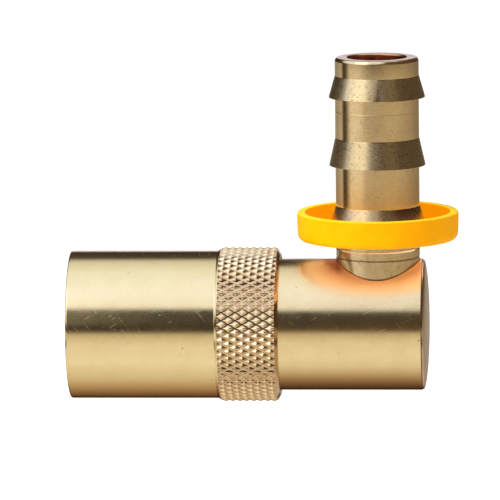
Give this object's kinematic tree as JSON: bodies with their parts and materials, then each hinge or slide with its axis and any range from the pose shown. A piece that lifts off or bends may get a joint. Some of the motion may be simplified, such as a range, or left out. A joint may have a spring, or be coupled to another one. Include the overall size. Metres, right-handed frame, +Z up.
{
  "type": "quick-connect coupling socket",
  "caption": "Brass ball-lock quick-connect socket with a knurled pull-back sleeve, a right-angle hose barb and a plastic guard ring for the hose end.",
  "frame": {"origin": "centre of the socket mouth, level with the release sleeve's front rim at rest, on the coupling axis", "axes": "+X along the coupling axis from the mouth to the closed rear end, +Z up the hose barb, +Y completes the right-handed set"},
  "size_m": [0.0591, 0.0244, 0.0526],
  "materials": {
    "brass_body": "turned, satin, with a heat tint round the barb",
    "brass_barb": "turned, satin, duller than the body",
    "brass_sleeve": "turned and polished, with a knurled band",
    "yellow_plastic": "smooth moulded",
    "spring_steel": "drawn wire and stamped strip",
    "ball_steel": "ground and polished",
    "seal_rubber": "moulded, matt",
    "valve_brass": "turned"
  },
  "bodies": {
    "body": {"coupler_body": "brass_body", "end_plug": "brass_body", "hose_barb": "brass_barb", "retaining_ring": "spring_steel", "plug_seal": "seal_rubber", "valve_guide": "valve_brass", "valve_spring": "spring_steel"},
    "sleeve_carrier": {"sleeve_spring": "spring_steel"},
    "sleeve": {"release_sleeve": "brass_sleeve"},
    "guard_ring": {"hose_guard_ring": "yellow_plastic"},
    "valve": {"valve_poppet": "valve_brass", "valve_seal": "seal_rubber"},
    "ball_1": {"locking_ball_1": "ball_steel"},
    "ball_2": {"locking_ball_2": "ball_steel"},
    "ball_3": {"locking_ball_3": "ball_steel"},
    "ball_4": {"locking_ball_4": "ball_steel"},
    "ball_5": {"locking_ball_5": "ball_steel"},
    "ball_6": {"locking_ball_6": "ball_steel"},
    "ball_7": {"locking_ball_7": "ball_steel"},
    "ball_8": {"locking_ball_8": "ball_steel"}
  },
  "joints": [
    {"name": "sleeve_slide", "type": "slide", "parent": "body", "child": "sleeve_carrier", "axis": [1, 0, 0], "range_m": [0, 0.0045], "stiffness_N_per_m": 2500, "springref_m": -0.004, "deforming": ["sleeve_spring"]},
    {"name": "sleeve_turn", "type": "hinge", "parent": "sleeve_carrier", "child": "sleeve", "pos_m": [0.02, 0, 0], "axis": [1, 0, 0], "continuous": true},
    {"name": "guard_ring_turn", "type": "hinge", "parent": "body", "child": "guard_ring", "pos_m": [0.04686, 0, 0.0153], "axis": [0, 0, 1], "continuous": true},
    {"name": "valve_slide", "type": "slide", "parent": "body", "child": "valve", "axis": [1, 0, 0], "range_m": [0, 0.004], "stiffness_N_per_m": 800, "springref_m": -0.004, "deforming": ["valve_spring"]},
    {"name": "ball_1_slide", "type": "slide", "parent": "body", "child": "ball_1", "axis": [0, 0.9239, 0.3827], "range_m": [0, 0.00121]},
    {"name": "ball_2_slide", "type": "slide", "parent": "body", "child": "ball_2", "axis": [0, 0.3827, 0.9239], "range_m": [0, 0.00121]},
    {"name": "ball_3_slide", "type": "slide", "parent": "body", "child": "ball_3", "axis": [0, -0.3827, 0.9239], "range_m": [0, 0.00121]},
    {"name": "ball_4_slide", "type": "slide", "parent": "body", "child": "ball_4", "axis": [0, -0.9239, 0.3827], "range_m": [0, 0.00121]},
    {"name": "ball_5_slide", "type": "slide", "parent": "body", "child": "ball_5", "axis": [0, -0.9239, -0.3827], "range_m": [0, 0.00121]},
    {"name": "ball_6_slide", "type": "slide", "parent": "body", "child": "ball_6", "axis": [0, -0.3827, -0.9239], "range_m": [0, 0.00121]},
    {"name": "ball_7_slide", "type": "slide", "parent": "body", "child": "ball_7", "axis": [0, 0.3827, -0.9239], "range_m": [0, 0.00121]},
    {"name": "ball_8_slide", "type": "slide", "parent": "body", "child": "ball_8", "axis": [0, 0.9239, -0.3827], "range_m": [0, 0.00121]}
  ],
  "couplings": [
    {"joint": "ball_1_slide", "follows": "sleeve_slide", "ratio": 0.268},
    {"joint": "ball_2_slide", "follows": "sleeve_slide", "ratio": 0.268},
    {"joint": "ball_3_slide", "follows": "sleeve_slide", "ratio": 0.268},
    {"joint": "ball_4_slide", "follows": "sleeve_slide", "ratio": 0.268},
    {"joint": "ball_5_slide", "follows": "sleeve_slide", "ratio": 0.268},
    {"joint": "ball_6_slide", "follows": "sleeve_slide", "ratio": 0.268},
    {"joint": "ball_7_slide", "follows": "sleeve_slide", "ratio": 0.268},
    {"joint": "ball_8_slide", "follows": "sleeve_slide", "ratio": 0.268}
  ]
}
